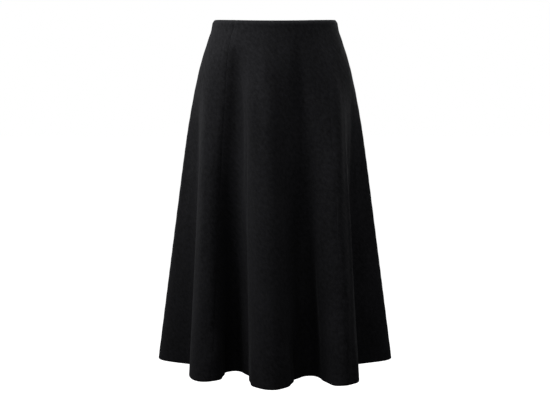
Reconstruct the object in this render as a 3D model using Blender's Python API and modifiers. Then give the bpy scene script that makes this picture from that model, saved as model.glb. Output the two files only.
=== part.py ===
# Flared midi skirt of seven gores in felted wool, in the form it keeps when worn, hollow throughout.
# Lengths in the tables are millimetres. The origin is the middle of the waist opening, front to -Y,
# and a level counts down from it. Each ring of the cloth runs from the centre back over the wearer's
# right side (-X), the front and the wearer's left side (+X) to the centre back again.
from functools import lru_cache

import bmesh
import bpy
import numpy as np
from mathutils import Matrix, Vector

MM = 0.001

# Sizes that drive the whole skirt
HEM_LEVEL = 700.0        # waist to hem, straight down
WALL = 2.0               # thickness of the felted wool
SEAM_GAP = 0.34          # between neighbouring gores
FOLD_EASE = 60.0         # above and below where a fold leaves the hips, how far it takes to form
ROLL_LEVEL = 10.0        # the turned waist edge rolls inwards over this height
ROLL_DEPTH = 5.0         # and by this much at the very top
FRONT_DIP = 4.5          # how far the waist edge lies below the origin at the centre front
SIDE_DIP = 1.2           # and at the sides; at the centre back it doesn't dip
DIP_FADES = 90.0         # level at which the rings are level again

# Waist, hips and the flare below: half the breadth, and the depth ahead of and behind the origin
SECTIONS = (
    # level, half_breadth, front_depth, back_depth
    (0, 125.0, 92, 96),
    (20, 127.8, 94, 99),
    (40, 134.2, 97, 104),
    (80, 147.0, 104, 115),
    (120, 157.3, 111, 126),
    (200, 173.6, 122, 139),
    (300, 188.8, 131, 150),
    (450, 209.0, 143, 162),
    (700, 243.0, 165, 185),
)

# Folds. Each line is a crest, a valley or the flank between them: its angle on the hips, the level
# where it leaves them, where it meets the hem, which way the hem runs there (degrees from +X), and
# how far the hem keeps that way before and after it.
FOLD_LINES = (
    # name, around, leaves, hem_x, hem_y, heading, before, after
    ("back_centre_valley", 0, 240, 0, 150, 182, 28, 26),
    ("back_right_crest", 27, 210, -66, 222, 184, 36, 34),
    ("back_right_valley", 46, 230, -112, 132, 205, 28, 26),
    ("back_right_outer_crest", 61, 210, -172, 166, 225, 30, 32),
    ("back_right_outer_valley", 76, 190, -178, 70, 248, 28, 30),
    ("side_right_crest", 90, 300, -243, 6, 270, 30, 38),
    ("front_right_hollow", 104, 120, -158, -63, 303, 26, 16),
    ("front_right_flank", 113, 110, -170, -125, 268, 24, 34),
    ("front_right_crest", 121, 110, -137, -188, 0, 22, 38),
    ("front_right_valley", 144, 60, -79, -106, 0, 22, 34),
    ("front_centre_crest", 165, 100, -5, -248, 0, 60, 40),
    ("front_left_valley", 194, 90, 70, -146, 0, 34, 26),
    ("front_left_crest", 227, 120, 121, -218, 5, 26, 38),
    ("front_left_flank", 246, 110, 167, -132, 90, 44, 20),
    ("front_left_hollow", 255, 120, 157, -62, 57, 16, 28),
    ("side_left_crest", 270, 300, 243, 6, 90, 36, 30),
    ("back_left_outer_valley", 285, 190, 180, 80, 113, 28, 26),
    ("back_left_outer_crest", 300, 210, 166, 180, 140, 30, 30),
    ("back_left_valley", 317, 230, 102, 128, 160, 26, 26),
    ("back_left_crest", 335, 210, 60, 232, 178, 34, 34),
)

# Seams, each a share of the way from one fold line to the next, at the waist and at the hem
SEAMS = (
    # name, fold, waist_share, hem_share
    ("centre_back", "back_centre_valley", 0.0, 0.0),
    ("side_back_right", "back_right_crest", 0.53, 1.28),
    ("side_right", "side_right_crest", 0.0, 0.0),
    ("princess_right", "front_right_crest", 0.87, 0.10),
    ("princess_left", "front_left_valley", 0.73, 1.20),
    ("side_left", "side_left_crest", 0.0, 0.0),
    ("side_back_left", "back_left_outer_crest", 1.33, 0.75),
)

# Gores, each from the seam of its row above to the next one
GORES = ("gore_back_right", "gore_side_back_right", "gore_front_right", "gore_front_centre",
         "gore_front_left", "gore_side_back_left", "gore_back_left")
HEM_STEP = 15.0          # columns follow the folds, about this far apart at the hem

# Levels of the rings: close at the rolled waist edge, wider down the flare
ROLL_RINGS = (0, 2.5, 5, 7.5, 10)
UPPER_RINGS = (16, 22, 28, 40, 60, 80, 105, 130, 160)
LOWER_STEP = 60.0

# Concealed zip in the centre-back seam
ZIP_TOP = 2.5
ZIP_BOTTOM = 220.0
TAPE_WIDTH = 12.0
TAPE_THICK = 0.8
COIL_WIDTH = 2.4
COIL_THICK = 1.8
TAPE_STEP = 0.5          # over which the tape thins beside its coil, and widens below the slider
LAY_GAP = 0.36           # between the wall and what lies on it
SLIDER_LEVEL = 18.0      # middle of the slider
SLIDER_LONG = 9.0
SLIDER_WIDE = 8.0
SLIDER_THICK = 2.6
SLIDER_ROUND = 0.6
NECK_WIDE = 1.6
NECK_LONG = 4.0
MOUTH_HALF_GAP = 1.2     # the seam stands this far open on each side at and above the slider
MOUTH_CLOSES = (22.0, 28.0)
PIN_RADIUS = 0.6
PIN_CLEAR = 0.3
EYE_WALL = 0.7
EYE_WIDE = 2.4
LUG_THICK = 0.8
LUG_HALF_LONG = 1.2
LUG_OVER_PIN = 0.5
HEAD_THICK = 0.9
SUNK = 0.3               # how far joined shapes reach into each other
PULL_THICK = 1.0
PULL_LEAN = 5.6          # degrees that the hanging tab leans in, until its end rests on the cloth
PULL_OUTLINE = (
    # across, down: one side of the tab, from the middle of its eye to the middle of its round end
    (1.2, 0.0),
    (1.1, 5.0),
    (2.5, 15.5),
    (0.0, 20.0),
)

WOOL = {"color": (0.006, 0.006, 0.0068), "roughness": 0.92, "metallic": 0.0}
TAPE = {"color": (0.008, 0.008, 0.009), "roughness": 0.7, "metallic": 0.0}
PAINTED = {"color": (0.012, 0.012, 0.013), "roughness": 0.35, "metallic": 0.6}


def eased(share):
    share = np.clip(share, 0.0, 1.0)
    return share * share * (3 - 2 * share)


def along_table(levels, values, at):
    # Smooth curve through the rows: each span is a cubic with the slopes of its neighbours
    slopes = np.gradient(values, levels)
    span = int(np.clip(np.searchsorted(levels, at, side="right") - 1, 0, len(levels) - 2))
    step = levels[span + 1] - levels[span]
    t = (at - levels[span]) / step
    return ((1 + 2 * t) * (1 - t) ** 2 * values[span] + t * (1 - t) ** 2 * step * slopes[span]
            + t * t * (3 - 2 * t) * values[span + 1] + t * t * (t - 1) * step * slopes[span + 1])


def section(level):
    columns = np.array(SECTIONS, float).T
    return [along_table(columns[0], column, level) for column in columns[1:]]


def on_hips(around, level):
    # Point of the smooth hip form, and how the ring runs there for each radian
    half_breadth, front_depth, back_depth = section(level)
    across, along = np.sin(around), np.cos(around)
    depth = back_depth if along > 0 else front_depth
    return (np.array([-half_breadth * across, depth * along]),
            np.array([-half_breadth * along, -depth * across]))


@lru_cache(maxsize=None)
def fold_ring(level):
    # Points of the fold lines at this level, with the handles before and after each
    angles = np.radians([row[1] for row in FOLD_LINES])
    points, before, after = [], [], []
    for k, (_, _, leaves, hem_x, hem_y, heading, keep_before, keep_after) in enumerate(FOLD_LINES):
        here, run = on_hips(angles[k], level)
        start, _ = on_hips(angles[k], leaves)
        grown = (level - leaves) / (HEM_LEVEL - leaves)
        share = eased((level - leaves + FOLD_EASE) / (2 * FOLD_EASE))
        way = np.array([np.cos(np.radians(heading)), np.sin(np.radians(heading))])
        turned = max(grown, 0.0) * share
        gap_before = (angles[k] - angles[k - 1]) % (2 * np.pi) / 3
        gap_after = (angles[(k + 1) % len(angles)] - angles[k]) % (2 * np.pi) / 3
        points.append(here * (1 - share) + (start + (np.array([hem_x, hem_y]) - start) * grown) * share)
        before.append(run * gap_before * (1 - turned) + way * keep_before * turned)
        after.append(run * gap_after * (1 - turned) + way * keep_after * turned)
    return np.array(points), np.array(before), np.array(after)


def ring_points(level, places):
    # Points on the ring, at places counted in fold lines
    points, before, after = fold_ring(level)
    first = np.floor(places).astype(int) % len(points)
    second = (first + 1) % len(points)
    t = (places - np.floor(places))[:, None]
    return ((1 - t) ** 3 * points[first] + 3 * t * (1 - t) ** 2 * (points[first] + after[first])
            + 3 * t * t * (1 - t) * (points[second] - before[second]) + t ** 3 * points[second])


def cloth_points(level, places):
    # The outer face of the cloth in space, with the rolled waist edge and its dip
    flat = ring_points(level, places)
    run = ring_points(level, places + 1e-3) - ring_points(level, places - 1e-3)
    out = np.column_stack([run[:, 1], -run[:, 0]]) / np.linalg.norm(run, axis=1)[:, None]
    rolled = ROLL_DEPTH * max(0.0, 1 - level / ROLL_LEVEL) ** 2
    half_breadth, front_depth, _ = section(max(level, 0.0))
    ahead = np.clip(-flat[:, 1] / front_depth, 0, 1) ** 2
    behind = np.clip(1 - (flat[:, 0] / half_breadth) ** 2, 0, 1) * (flat[:, 1] > 0)
    dip = (SIDE_DIP * (1 - behind) + (FRONT_DIP - SIDE_DIP) * ahead) * max(0.0, 1 - level / DIP_FADES) ** 2
    flat = flat - out * rolled
    return np.column_stack([flat, -level - dip])


def cloth_normals(level, places):
    run = cloth_points(level, places + 2e-3) - cloth_points(level, places - 2e-3)
    down = cloth_points(level + 0.5, places) - cloth_points(level - 0.5, places)
    normal = np.cross(down, run)
    return normal / np.linalg.norm(normal, axis=1)[:, None]


def seam_place(index, level):
    _, fold, waist_share, hem_share = SEAMS[index % len(SEAMS)]
    names = [row[0] for row in FOLD_LINES]
    turn = len(FOLD_LINES) * (index // len(SEAMS))
    return names.index(fold) + turn + waist_share + (hem_share - waist_share) * level / HEM_LEVEL


def half_gap(index, level):
    # Half the gap at a seam: the centre back stands open round the zip's slider
    if index % len(SEAMS):
        return SEAM_GAP / 2
    open_from, closed_from = MOUTH_CLOSES
    closed = eased((level - open_from) / (closed_from - open_from))
    return MOUTH_HALF_GAP * (1 - closed) + SEAM_GAP / 2 * closed


def places_from(level, start, side, distances):
    # Places on the ring at distances along the cloth from one place, side 1 with the ring, -1 against
    dense = start + side * np.linspace(0, 0.9, 300)
    points = ring_points(level, dense)
    length = np.concatenate([[0], np.cumsum(np.linalg.norm(np.diff(points, axis=0), axis=1))])
    return np.interp(distances, length, dense)


def gore_places(index):
    # Places of one gore's columns at the waist and at the hem: from seam to seam, with a column on
    # each fold line that runs the whole way down inside the gore
    ends = [(seam_place(index + k, 0), seam_place(index + k, HEM_LEVEL)) for k in (0, 1)]
    low, high = max(ends[0]), min(ends[1])
    lines = [(k, k) for k in range(int(np.floor(low)), int(np.ceil(high)) + 1)
             if low + 0.3 < k < high - 0.3]
    stops = [ends[0], *lines, ends[1]]
    waist, hem = [], []
    for (waist_from, hem_from), (waist_to, hem_to) in zip(stops, stops[1:]):
        span = ring_points(HEM_LEVEL, np.linspace(hem_from, hem_to, 60))
        length = np.linalg.norm(np.diff(span, axis=0), axis=1).sum()
        steps = max(2, int(round(length / HEM_STEP)))
        waist += list(np.linspace(waist_from, waist_to, steps + 1)[:-1])
        hem += list(np.linspace(hem_from, hem_to, steps + 1)[:-1])
    return np.array([*waist, ends[1][0]]), np.array([*hem, ends[1][1]])


def ring_levels():
    lower = int(round((HEM_LEVEL - UPPER_RINGS[-1]) / LOWER_STEP))
    return np.concatenate([ROLL_RINGS, UPPER_RINGS,
                           np.linspace(UPPER_RINGS[-1], HEM_LEVEL, lower + 1)[1:]])


def gore_grids(index):
    # Outer and inner faces of one gore, as rows of points
    at_waist, at_hem = gore_places(index)
    outer, inner = [], []
    for level in ring_levels():
        places = at_waist + (at_hem - at_waist) * level / HEM_LEVEL
        places[0] = places_from(level, places[0], 1, half_gap(index, level))
        places[-1] = places_from(level, places[-1], -1, half_gap(index + 1, level))
        points = cloth_points(level, places)
        outer.append(points)
        inner.append(points - cloth_normals(level, places) * WALL)
    return np.array(outer), np.array(inner)


def wall_faces(rows, columns):
    # Quads of a wall between two grids, the first one outside, with its four rims closed
    index = np.arange(rows * columns).reshape(rows, columns).tolist()
    back = (np.array(index) + rows * columns).tolist()
    quads = []
    for r in range(rows - 1):
        for c in range(columns - 1):
            quads.append((index[r][c], index[r + 1][c], index[r + 1][c + 1], index[r][c + 1]))
            quads.append((back[r][c], back[r][c + 1], back[r + 1][c + 1], back[r + 1][c]))
    for c in range(columns - 1):
        quads.append((index[0][c], index[0][c + 1], back[0][c + 1], back[0][c]))
        quads.append((index[-1][c], back[-1][c], back[-1][c + 1], index[-1][c + 1]))
    for r in range(rows - 1):
        quads.append((index[r][0], back[r][0], back[r + 1][0], index[r + 1][0]))
        quads.append((index[r][-1], index[r + 1][-1], back[r + 1][-1], back[r][-1]))
    return quads


def material(name, looks):
    made = bpy.data.materials.new(name)
    made.use_nodes = True
    shader = made.node_tree.nodes["Principled BSDF"]
    shader.inputs["Base Color"].default_value = (*looks["color"], 1)
    shader.inputs["Roughness"].default_value = looks["roughness"]
    shader.inputs["Metallic"].default_value = looks["metallic"]
    return made


def new_object(name, mesh, collection, looks=None):
    made = bpy.data.objects.new(name, mesh)
    collection.objects.link(made)
    if looks:
        mesh.materials.append(material(name, looks))
    mesh.shade_smooth()
    mesh.set_sharp_from_angle(angle=np.radians(40))
    return made


def add_wall(name, outer, inner, collection, looks):
    # The inner face follows the normals of the whole ring, so that the edges of two neighbours stay
    # parallel at their seam: a thickness taken from one gore's own faces would pinch or open it
    points = np.concatenate([outer.reshape(-1, 3), inner.reshape(-1, 3)]) * MM
    mesh = bpy.data.meshes.new(name)
    mesh.from_pydata(points.tolist(), [], wall_faces(*outer.shape[:2]))
    return new_object(name, mesh, collection, looks)


def add_gores(collection):
    for index, node in enumerate(GORES):
        outer, inner = gore_grids(index)
        add_wall(node, outer, inner, collection, WOOL)


def add_tape(name, side, collection):
    # Half of the zip on the inner face: its own edge carries the coil below the slider. side is 1
    # on the wearer's right of the centre back and -1 on the left.
    slider_end = SLIDER_LEVEL + SLIDER_LONG / 2 + LAY_GAP * 2
    rings = ring_levels()
    levels = np.sort(np.append(rings[(rings >= ZIP_TOP) & (rings <= ZIP_BOTTOM)],
                               [slider_end - TAPE_STEP, slider_end + TAPE_STEP]))
    beside = SLIDER_WIDE / 2 + LAY_GAP * 2
    outer, inner = [], []
    for level in levels:
        below = level > slider_end
        own_edge = max(half_gap(0, level), SEAM_GAP / 2) if below else beside
        coil_end = own_edge + (COIL_WIDTH if below else TAPE_STEP)
        coil_thick = COIL_THICK if below else TAPE_THICK
        distances = np.array([own_edge, coil_end, coil_end + TAPE_STEP, TAPE_WIDTH])
        thick = np.array([coil_thick, coil_thick, TAPE_THICK, TAPE_THICK])[:, None]
        places = places_from(level, seam_place(0, level), side, distances)
        points, normals = cloth_points(level, places), cloth_normals(level, places)
        near = points - normals * (WALL + LAY_GAP)
        far = near - normals * thick
        outer.append(near[::side])
        inner.append(far[::side])
    add_wall(name, np.array(outer), np.array(inner), collection, TAPE)


def box_mesh(name, low, high):
    low, high = Vector(low) * MM, Vector(high) * MM
    shape = bmesh.new()
    bmesh.ops.create_cube(shape, size=1, matrix=Matrix.Translation((low + high) / 2)
                          @ Matrix.Diagonal((*(high - low), 1)))
    return finished(name, shape)


def rod_mesh(name, radius, half_long, out, segments=24):
    # A cylinder along X, its middle this far out of the cloth
    shape = bmesh.new()
    along_x = Matrix.Translation((0, out * MM, 0)) @ Matrix.Rotation(np.pi / 2, 4, "Y")
    bmesh.ops.create_cone(shape, cap_ends=True, segments=segments, radius1=radius * MM,
                          radius2=radius * MM, depth=2 * half_long * MM, matrix=along_x)
    return finished(name, shape)


def finished(name, shape):
    mesh = bpy.data.meshes.new(name)
    shape.to_mesh(mesh)
    shape.free()
    return mesh


def tab_mesh(name):
    # The flat tab below its hinge: a closed outline, filled and extruded
    left = [(-across, down) for across, down in PULL_OUTLINE[-2::-1]]
    outline = bpy.data.curves.new(name, "CURVE")
    outline.dimensions = "2D"
    outline.fill_mode = "BOTH"
    outline.extrude = PULL_THICK / 2 * MM
    outline.resolution_u = 6
    spline = outline.splines.new("BEZIER")
    spline.use_cyclic_u = True
    corners = [*PULL_OUTLINE, *left]
    spline.bezier_points.add(len(corners) - 1)
    for point, (across, down) in zip(spline.bezier_points, corners):
        point.co = (across * MM, -down * MM, 0)
        point.handle_left_type = point.handle_right_type = "AUTO"
    for point in (spline.bezier_points[0], spline.bezier_points[-1]):
        point.handle_left_type = point.handle_right_type = "VECTOR"
    drawn = bpy.data.objects.new(name, outline)
    bpy.context.scene.collection.objects.link(drawn)
    bpy.context.view_layer.update()
    mesh = bpy.data.meshes.new_from_object(drawn.evaluated_get(bpy.context.evaluated_depsgraph_get()))
    bpy.data.objects.remove(drawn)
    shape = bmesh.new()
    shape.from_mesh(mesh)
    bmesh.ops.remove_doubles(shape, verts=shape.verts, dist=1e-6)
    bmesh.ops.transform(shape, matrix=Matrix.Rotation(np.pi / 2, 4, "X"), verts=shape.verts)
    bmesh.ops.recalc_face_normals(shape, faces=shape.faces)
    return finished(name, shape)


def combine(base, tools, operation, helpers):
    for mesh in tools:
        tool = new_object(mesh.name, mesh, helpers)
        tool.parent = base.parent
        tool.display_type = "WIRE"
        tool.hide_render = True
        step = base.modifiers.new(mesh.name, "BOOLEAN")
        step.operation = operation
        step.solver = "EXACT"
        step.object = tool


def empty_at(name, place, collection, parent, tilt):
    made = bpy.data.objects.new(name, None)
    collection.objects.link(made)
    made.parent = parent
    made.location = Vector(place) * MM
    made.rotation_euler = (tilt, 0, 0)
    made.empty_display_size = 0.01
    return made


def add_zip_hardware(collection, helpers):
    # Slider and pull tab in the zip's own frame: x across, y out of the cloth, z up along it
    seam = np.array([seam_place(0, SLIDER_LEVEL)])
    place, above, below = (cloth_points(SLIDER_LEVEL + d, seam)[0] for d in (0, -6, 20))
    tilt = float(np.arctan2(below[1] - above[1], above[2] - below[2]))
    seat = empty_at("zip_seat", place, collection, None, tilt)

    body_top = -(WALL + LAY_GAP * 2)
    half_wide, half_long, half_neck = SLIDER_WIDE / 2, SLIDER_LONG / 2, NECK_LONG / 2
    head_low = LAY_GAP
    eye_radius = PIN_RADIUS + PIN_CLEAR + EYE_WALL
    pin_out = head_low + HEAD_THICK + PIN_CLEAR + eye_radius
    lug_in = EYE_WIDE / 2 + PIN_CLEAR
    lug_out = lug_in + LUG_THICK
    lug_high = pin_out + PIN_RADIUS + LUG_OVER_PIN

    slider = new_object("zip_slider", box_mesh(
        "zip_slider", (-half_wide, body_top - SLIDER_THICK, -half_long), (half_wide, body_top, half_long)),
        collection, PAINTED)
    slider.parent = seat
    rounding = slider.modifiers.new("rounding", "BEVEL")
    rounding.width = SLIDER_ROUND * MM
    rounding.segments = 2
    combine(slider, (
        box_mesh("slider_neck", (-NECK_WIDE / 2, body_top - SUNK, -half_neck),
                 (NECK_WIDE / 2, head_low + SUNK, half_neck)),
        box_mesh("slider_head", (-lug_out, head_low, -half_neck),
                 (lug_out, head_low + HEAD_THICK, half_neck)),
        box_mesh("slider_lug_left", (lug_in, head_low + SUNK, -LUG_HALF_LONG),
                 (lug_out, lug_high, LUG_HALF_LONG)),
        box_mesh("slider_lug_right", (-lug_out, head_low + SUNK, -LUG_HALF_LONG),
                 (-lug_in, lug_high, LUG_HALF_LONG)),
        rod_mesh("slider_pin", PIN_RADIUS, lug_in + LUG_THICK / 2, pin_out)), "UNION", helpers)

    hinge = empty_at("zip_hinge", (0, pin_out, 0), collection, seat, -np.radians(PULL_LEAN))
    pull = new_object("zip_pull", tab_mesh("zip_pull"), collection, PAINTED)
    pull.parent = hinge
    combine(pull, (rod_mesh("pull_eye", eye_radius, EYE_WIDE / 2, 0),), "UNION", helpers)
    combine(pull, (rod_mesh("pull_bore", PIN_RADIUS + PIN_CLEAR, EYE_WIDE, 0),), "DIFFERENCE", helpers)


def main():
    for old in list(bpy.data.objects):
        bpy.data.objects.remove(old, do_unlink=True)
    skirt = bpy.data.collections.new("skirt")
    helpers = bpy.data.collections.new("skirt_cutters")
    helpers.hide_render = True
    bpy.context.scene.collection.children.link(skirt)
    bpy.context.scene.collection.children.link(helpers)
    add_gores(skirt)
    add_tape("zip_tape_right", 1, skirt)
    add_tape("zip_tape_left", -1, skirt)
    add_zip_hardware(skirt, helpers)


main()
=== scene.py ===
import bpy
import numpy as np
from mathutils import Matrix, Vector


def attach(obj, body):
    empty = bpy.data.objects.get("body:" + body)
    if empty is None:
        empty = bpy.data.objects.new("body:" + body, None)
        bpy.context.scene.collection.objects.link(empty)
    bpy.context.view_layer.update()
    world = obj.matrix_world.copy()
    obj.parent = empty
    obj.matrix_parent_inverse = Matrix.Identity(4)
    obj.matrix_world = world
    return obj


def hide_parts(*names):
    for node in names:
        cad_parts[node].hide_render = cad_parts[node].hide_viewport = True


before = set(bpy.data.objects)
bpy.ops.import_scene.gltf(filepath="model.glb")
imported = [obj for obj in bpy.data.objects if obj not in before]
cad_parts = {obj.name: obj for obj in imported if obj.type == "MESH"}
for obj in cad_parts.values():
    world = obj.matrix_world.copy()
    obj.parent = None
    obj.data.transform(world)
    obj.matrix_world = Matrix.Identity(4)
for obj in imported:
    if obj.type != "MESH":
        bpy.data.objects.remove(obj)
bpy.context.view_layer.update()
mm = 0.001

skirtForm = {
    "hemLevel": 700.0,
    "foldEase": 60.0,      # above and below where a fold leaves the hips, how far it takes to form
    "rollLevel": 10.0,     # the waist edge rolls inwards over this height
    "rollDepth": 5.0,
    "frontDip": 4.5,       # how far the waist edge lies below the origin at the front
    "sideDip": 1.2,
    "dipFades": 90.0,
    "tableStep": 40,       # points from one fold line to the next when a ring is measured
    "tableSpare": 2,       # fold lines that it is measured past either end of the ring
}

# level, half the breadth, depth ahead of the origin, depth behind it
hipSections = np.array([
    (0, 125.0, 92, 96), (20, 127.8, 94, 99), (40, 134.2, 97, 104), (80, 147.0, 104, 115),
    (120, 157.3, 111, 126), (200, 173.6, 122, 139), (300, 188.8, 131, 150), (450, 209.0, 143, 162),
    (700, 243.0, 165, 185)], float).T

# angle on the hips, level where the fold leaves them, hem x and y, heading of the hem there, and how
# far the hem keeps it before and after
foldLines = {
    "backCentreValley": (0, 240, 0, 150, 182, 28, 26),
    "backRightCrest": (27, 210, -66, 222, 184, 36, 34),
    "backRightValley": (46, 230, -112, 132, 205, 28, 26),
    "backRightOuterCrest": (61, 210, -172, 166, 225, 30, 32),
    "backRightOuterValley": (76, 190, -178, 70, 248, 28, 30),
    "sideRightCrest": (90, 300, -243, 6, 270, 30, 38),
    "frontRightHollow": (104, 120, -158, -63, 303, 26, 16),
    "frontRightFlank": (113, 110, -170, -125, 268, 24, 34),
    "frontRightCrest": (121, 110, -137, -188, 0, 22, 38),
    "frontRightValley": (144, 60, -79, -106, 0, 22, 34),
    "frontCentreCrest": (165, 100, -5, -248, 0, 60, 40),
    "frontLeftValley": (194, 90, 70, -146, 0, 34, 26),
    "frontLeftCrest": (227, 120, 121, -218, 5, 26, 38),
    "frontLeftFlank": (246, 110, 167, -132, 90, 44, 20),
    "frontLeftHollow": (255, 120, 157, -62, 57, 16, 28),
    "sideLeftCrest": (270, 300, 243, 6, 90, 36, 30),
    "backLeftOuterValley": (285, 190, 180, 80, 113, 28, 26),
    "backLeftOuterCrest": (300, 210, 166, 180, 140, 30, 30),
    "backLeftValley": (317, 230, 102, 128, 160, 26, 26),
    "backLeftCrest": (335, 210, 60, 232, 178, 34, 34),
}
lineNames = list(foldLines)
lineTable = np.array(list(foldLines.values()), float).T

# fold line after which the seam runs, and its share of the way to the next at the waist and the hem
seamLines = {
    "centreBack": ("backCentreValley", 0.0, 0.0),
    "sideBackRight": ("backRightCrest", 0.53, 1.28),
    "sideRight": ("sideRightCrest", 0.0, 0.0),
    "princessRight": ("frontRightCrest", 0.87, 0.10),
    "princessLeft": ("frontLeftValley", 0.73, 1.20),
    "sideLeft": ("sideLeftCrest", 0.0, 0.0),
    "sideBackLeft": ("backLeftOuterCrest", 1.33, 0.75),
}
seamTable = [(lineNames.index(line), atWaist, atHem) for line, atWaist, atHem in seamLines.values()]

# Each gore with the node it stands for and its cut without allowances, in metres: width at the
# waist, halfway down and at the hem, then length
gores = {
    "goreBackRight": ("gore_back_right", 0.079, 0.138, 0.231, 0.711),
    "goreSideBackRight": ("gore_side_back_right", 0.096, 0.149, 0.251, 0.711),
    "goreFrontRight": ("gore_front_right", 0.089, 0.166, 0.268, 0.710),
    "goreFrontCentre": ("gore_front_centre", 0.163, 0.284, 0.517, 0.715),
    "goreFrontLeft": ("gore_front_left", 0.091, 0.169, 0.274, 0.711),
    "goreSideBackLeft": ("gore_side_back_left", 0.096, 0.155, 0.275, 0.711),
    "goreBackLeft": ("gore_back_left", 0.079, 0.137, 0.247, 0.711),
}

cloth = {
    "thick": 2.0,
    "turnedThick": 1.6,     # where the iron has pressed it
    "layerGap": 0.15,
    "hemTurned": 36.0,      # depth of the turned hem
    "waistTurned": 27.0,
    "edgeWander": 0.7,      # how unevenly the turned edges run
    "edgeWaves": ((0.3, 37.0), (0.2, 13.0)),   # share and millimetres for a radian of two waves in them
    "seamRound": 0.28,      # radius of the cloth's turn into a seam
    "columnStep": 4.2,      # at the hem
    "rowStep": 6.5,
    "nearFold": 14.0,       # rows lie closer within this of the waist's and the hem's fold
    "turnPoints": 9,        # round a fold
    "waistPoints": 8,       # on either side of the waist's fold
    "hemPoints": 6,         # above the hem's fold
    "turnedPoints": 10,     # up the turned hem
    "flatRow": 40,          # row whose ends say where the seams lie on the flat cloth
}

# Columns close to a seam, by distance from it
seamColumns = np.array([0.0, 0.22, 0.5, 0.85, 1.3, 2.0, 3.0, 4.5, 6.5])

# How a seam looks from outside
seamRelief = {
    "grooveDeep": 0.32,
    "grooveWide": 2.0,
    "pressedHigh": 0.38,    # the allowances inside lift the cloth by this much
    "pressedPast": 2.0,     # how far past them the lift ends, and the width over which it fades
    "pressedFade": 5.0,
    "puckerHigh": 0.16,
    "puckerLong": 31.0,
    "puckerTurn": 2.1,      # radians that it shifts from one seam to the next
    "puckerDrift": 2.0,     # radians that it wanders along a seam, and millimetres for each of them
    "driftLong": 41.0,
}

# An allowance, pressed open inside. Each wave has its height and its millimetres for a radian
allowance = {
    "wide": 12.5,
    "thick": 1.4,
    "air": 0.05,            # between the cloth and the allowance
    "rowStep": 5.0,
    "fromWaist": 3.0,       # where it starts below the waist's fold, or below the zip's tapes
    "fromZip": 1.0,
    "fromHem": 2.6,         # where it ends above the hem's fold
    "waves": ((0.35, 23.0), (0.25, 9.1)),   # in its raw edge
    "curl": 0.12,           # how far the raw edge curls off the cloth, on average
    "curlFrom": 0.6,        # share of the width where that begins
    "curlLong": 17.0,
    "crossAir": 0.1,        # what lies over the allowances clears them by this
    "crossPast": 1.5,       # and comes down again from so far past them, over so much
    "crossFade": 3.0,
    "shares": (0.0, 0.04, 0.1, 0.2, 0.35, 0.5, 0.65, 0.8, 0.93, 0.98, 1.0),   # across it
    "thin": (0.35, 0.7, 0.95, 1, 1, 1, 1, 1, 1, 0.85, 0.55),                  # its thickness there
}

# Soft creases: fold place and level where each begins and ends, share of its way at which it is
# highest, half width there, height (minus is a trough). One that ends at the hem doesn't die away
creases = (
    (11.18, 30, 11.06, 640, 0.30, 17, -10.5),   # the streak that opens into the front left valley
    (11.90, 40, 12.00, 600, 0.32, 24, 6.0),     # the front left fold beside it
    (11.00, 160, 10.90, 700, 0.55, 17, -4.0),
    (11.00, 160, 10.92, 690, 0.50, 17, -3.0),
    (11.50, 260, 11.45, 700, 0.70, 13, 2.5),
    (11.50, 260, 11.47, 690, 0.60, 13, 4.5),
    (12.06, 90, 12.14, 700, 0.40, 15, 6.0),
    (12.62, 120, 12.42, 700, 0.50, 6, 2.2),     # its crisp edge
    (13.10, 150, 12.96, 700, 0.45, 18, -11.0),
    (13.95, 220, 13.90, 640, 0.50, 16, -4.0),
    (9.20, 50, 9.04, 520, 0.32, 21, -10.0),     # the streak of the front right valley
    (9.40, 200, 9.38, 700, 0.60, 17, -7.5),     # the centre fold's steep side
    (9.56, 90, 9.48, 560, 0.40, 8, -1.9),       # and the turn at its top, softened
    (10.22, 50, 10.36, 640, 0.35, 20, 6.5),
    (8.26, 400, 8.31, 700, 0.85, 17, 7.5),      # near the hem the folds turn their corners sharply
    (8.74, 430, 8.72, 700, 0.85, 12, -6.0),
    (9.66, 450, 9.71, 700, 0.85, 15, 4.5),
    (10.34, 430, 10.33, 700, 0.85, 14, 4.0),
    (10.66, 430, 10.65, 700, 0.85, 12, -6.0),
    (12.58, 480, 12.52, 700, 0.85, 12, 3.5),
    (8.30, 60, 8.10, 330, 0.5, 11, -0.9),
    (7.55, 260, 7.42, 660, 0.5, 10, -0.9),
    (13.45, 240, 13.52, 640, 0.5, 11, -0.9),
    (5.45, 160, 5.36, 690, 0.5, 12, -1.1),
    (5.78, 60, 5.70, 430, 0.4, 10, 0.8),
    (14.50, 150, 14.62, 690, 0.5, 12, -1.1),
    (14.20, 50, 14.30, 420, 0.4, 10, 0.7),
    (15.45, 200, 15.40, 620, 0.5, 12, 0.9),
    (16.10, 120, 16.00, 520, 0.35, 20, -3.6),
    (16.55, 110, 16.60, 480, 0.4, 16, 1.8),
    (17.10, 100, 17.00, 700, 0.35, 22, -4.2),
    (17.60, 170, 17.62, 640, 0.5, 12, 0.9),
    (18.20, 90, 18.36, 400, 0.4, 13, -1.2),
    (19.40, 230, 19.46, 660, 0.5, 13, -0.9),
    (0.10, 130, 0.04, 700, 0.40, 20, -3.2),
    (0.62, 210, 0.60, 650, 0.5, 13, 1.0),
    (1.50, 80, 1.60, 410, 0.4, 13, -1.4),
    (1.96, 110, 2.04, 640, 0.32, 22, -4.6),
    (2.50, 150, 2.45, 560, 0.4, 15, 1.6),
    (3.55, 100, 3.65, 470, 0.5, 11, -1.0),
    (4.10, 130, 4.02, 560, 0.35, 19, -3.2),
    (4.50, 220, 4.56, 620, 0.5, 12, 0.9),
)
creaseRun = {
    "wander": 2.5,          # how far a crease strays from its straight course
    "wanderLong": 57.0,     # millimetres for a radian of that
    "wanderTurn": 3,        # radians that it shifts from one fold line to the next
    "startWide": 0.7,       # share of its width where it begins
}

lastSpan = 1.001            # keeps a spot between the last two points of a row


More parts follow.
